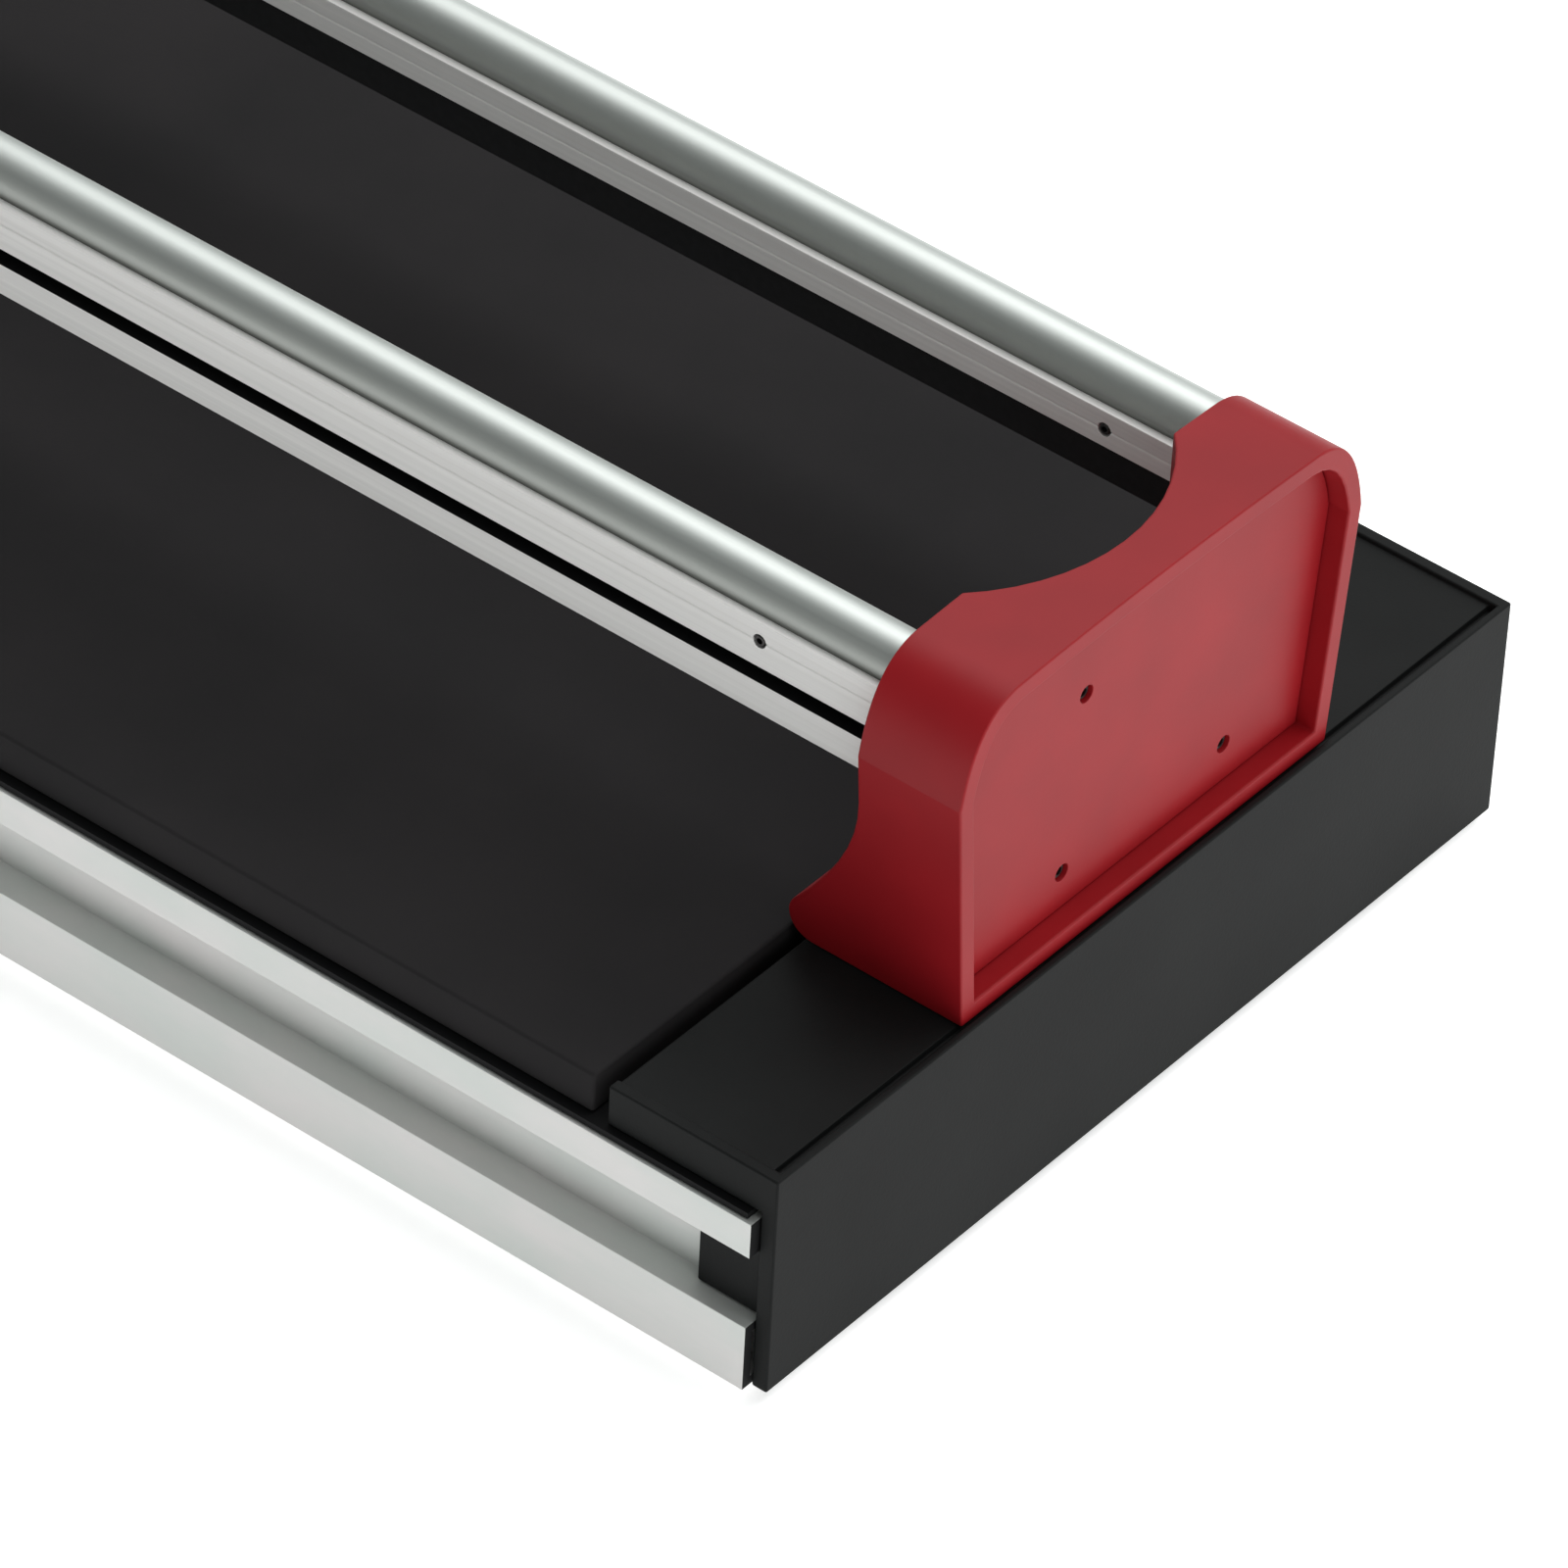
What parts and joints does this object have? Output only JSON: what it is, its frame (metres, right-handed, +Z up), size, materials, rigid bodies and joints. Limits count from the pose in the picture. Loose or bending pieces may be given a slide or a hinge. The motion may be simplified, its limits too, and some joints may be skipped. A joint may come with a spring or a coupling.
{
  "type": "tile cutter",
  "caption": "Manual tile cutter: a padded base with slotted aluminium edges, moulded end blocks, twin rails, and a roller carriage whose lever scores and breaks tiles.",
  "frame": {"origin": "middle of the footprint, on the surface that the rubber feet stand on", "axes": "+X along the rails, away from the fence; the front is -Y; +Z up"},
  "size_m": [0.8, 0.255, 0.3046],
  "materials": {
    "aluminium": "fine extrusion grain, natural anodised",
    "rail": "bright polished extrusion",
    "steel": "zinc plated",
    "dark_steel": "black oxide",
    "deck": "dark coating on sheet steel",
    "cap_plastic": "fine moulded texture",
    "foam": "dense matte foam rubber",
    "foot_rubber": "matte",
    "red_casting": "satin red moulding, darker where it turns down",
    "grip_rubber": "ribbed matte grip",
    "black_plastic": "satin",
    "carbide": "ground carbide"
  },
  "bodies": {
    "base": {"breaking_rib": "aluminium", "deck_plate": "deck", "fence_bar": "aluminium", "fence_screw_front": "dark_steel", "fence_screw_rear": "dark_steel", "foot_front_left": "foot_rubber", "foot_front_right": "foot_rubber", "foot_rear_left": "foot_rubber", "foot_rear_right": "foot_rubber", "front_extrusion": "aluminium", "front_pad": "foam", "front_rail": "rail", "left_end_block": "red_casting", "left_end_cap": "cap_plastic", "left_end_panel": "red_casting", "left_front_block_bolt": "steel", "left_front_rail_bolt": "steel", "left_front_rail_grub": "dark_steel", "left_panel_screw_1": "dark_steel", "left_panel_screw_2": "dark_steel", "left_panel_screw_3": "dark_steel", "left_rear_block_bolt": "steel", "left_rear_rail_bolt": "steel", "left_rear_rail_grub": "dark_steel", "rear_extrusion": "aluminium", "rear_pad": "foam", "rear_rail": "rail", "right_end_block": "red_casting", "right_end_cap": "cap_plastic", "right_end_panel": "red_casting", "right_front_block_bolt": "steel", "right_front_rail_bolt": "steel", "right_front_rail_grub": "dark_steel", "right_panel_screw_1": "dark_steel", "right_panel_screw_2": "dark_steel", "right_panel_screw_3": "dark_steel", "right_rear_block_bolt": "steel", "right_rear_rail_bolt": "steel", "right_rear_rail_grub": "dark_steel"},
    "carriage": {"carriage_body": "aluminium", "front_left_axle": "dark_steel", "front_right_axle": "dark_steel", "rear_left_axle": "dark_steel", "rear_right_axle": "dark_steel", "front_keeper_pad": "black_plastic", "rear_keeper_pad": "black_plastic", "lever_pivot_bolt": "dark_steel"},
    "handle": {"lever": "rail", "lever_grip": "grip_rubber", "wheel_axle": "steel", "breaker_pin": "steel"},
    "cutting_wheel": {"scoring_wheel": "carbide"},
    "press_foot": {"breaker_foot": "black_plastic"},
    "front_left_roller": {"front_left_roller": "steel"},
    "front_right_roller": {"front_right_roller": "steel"},
    "rear_left_roller": {"rear_left_roller": "steel"},
    "rear_right_roller": {"rear_right_roller": "steel"},
    "stop": {"side_stop": "black_plastic"},
    "knob": {"stop_knob": "red_casting"}
  },
  "joints": [
    {"name": "carriage_slide", "type": "slide", "parent": "base", "child": "carriage", "axis": [1, 0, 0], "range_m": [-0.085, 0.48]},
    {"name": "handle_pivot", "type": "hinge", "parent": "carriage", "child": "handle", "pos_m": [-0.2, 0, 0.14115], "axis": [0, -1, 0], "range_deg": [0, 45]},
    {"name": "scoring_wheel_spin", "type": "hinge", "parent": "handle", "child": "cutting_wheel", "pos_m": [-0.238, 0, 0.08915], "axis": [0, 1, 0], "continuous": true},
    {"name": "breaker_foot_pivot", "type": "hinge", "parent": "handle", "child": "press_foot", "pos_m": [-0.17, 0, 0.08615], "axis": [0, -1, 0], "range_deg": [-12, 12]},
    {"name": "front_left_roller_spin", "type": "hinge", "parent": "carriage", "child": "front_left_roller", "pos_m": [-0.232, -0.0512, 0.15115], "axis": [0, 1, 0], "continuous": true},
    {"name": "front_right_roller_spin", "type": "hinge", "parent": "carriage", "child": "front_right_roller", "pos_m": [-0.168, -0.0512, 0.15115], "axis": [0, 1, 0], "continuous": true},
    {"name": "rear_left_roller_spin", "type": "hinge", "parent": "carriage", "child": "rear_left_roller", "pos_m": [-0.232, 0.0512, 0.15115], "axis": [0, 1, 0], "continuous": true},
    {"name": "rear_right_roller_spin", "type": "hinge", "parent": "carriage", "child": "rear_right_roller", "pos_m": [-0.168, 0.0512, 0.15115], "axis": [0, 1, 0], "continuous": true},
    {"name": "side_stop_slide", "type": "slide", "parent": "base", "child": "stop", "axis": [0, 1, 0], "range_m": [-0.022, 0.02]},
    {"name": "stop_knob_turn", "type": "hinge", "parent": "stop", "child": "knob", "pos_m": [-0.335, -0.075, 0.07], "axis": [0, 0, 1], "range_deg": [0, 180]}
  ],
  "couplings": [
    {"joint": "front_left_roller_spin", "follows": "carriage_slide", "rad_per_m": 106.95},
    {"joint": "front_right_roller_spin", "follows": "carriage_slide", "rad_per_m": 106.95},
    {"joint": "rear_left_roller_spin", "follows": "carriage_slide", "rad_per_m": 106.95},
    {"joint": "rear_right_roller_spin", "follows": "carriage_slide", "rad_per_m": 106.95}
  ]
}
